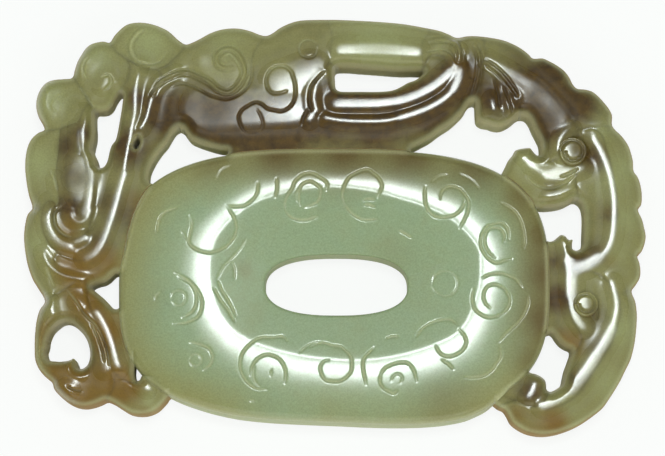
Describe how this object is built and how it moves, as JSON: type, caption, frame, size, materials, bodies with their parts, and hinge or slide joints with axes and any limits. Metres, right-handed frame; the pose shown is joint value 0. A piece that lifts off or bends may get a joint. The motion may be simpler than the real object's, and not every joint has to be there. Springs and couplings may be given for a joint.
{
  "type": "jade bi pendant",
  "caption": "Carved jade pendant: an oval bi disc with an oval hole, incised with scrolls and framed on three sides by a coiled openwork creature.",
  "frame": {"origin": "on the flat back, below the middle of the outline", "axes": "+X along the carving's length, to the right when the carved face is seen upright; +Y across it, towards the top bar; +Z out of the carved face"},
  "size_m": [0.0699, 0.0465, 0.0075],
  "materials": {
    "celadon_stone": "polished",
    "pale_stone": "polished",
    "olive_stone": "polished",
    "russet_stone": "polished"
  },
  "bodies": {
    "root": {"bi_ring": "celadon_stone", "limb_spiral": "russet_stone", "tail_spiral": "olive_stone", "tail_tip": "russet_stone", "fan_tuft": "russet_stone", "fore_limb": "russet_stone", "claw_strip": "russet_stone", "inner_limb": "russet_stone", "paw": "olive_stone", "tail_scroll": "olive_stone", "tail_curl": "olive_stone", "spine_lower": "olive_stone", "collar": "russet_stone", "spine_upper": "russet_stone", "band_upper": "russet_stone", "band_lower": "russet_stone", "top_bar": "olive_stone", "neck_curl": "olive_stone", "curl_lobe_top": "pale_stone", "curl_lobe_mid": "pale_stone", "long_tendril": "russet_stone", "curl_lobe_left": "pale_stone", "mane_lock_upper": "pale_stone", "inner_leaf": "russet_stone", "neck_limb": "russet_stone", "mane_lock_lower": "olive_stone", "shoulder": "russet_stone", "foot_leaf": "russet_stone", "foot_loop": "russet_stone", "toe_lobe": "olive_stone"}
  },
  "joints": []
}
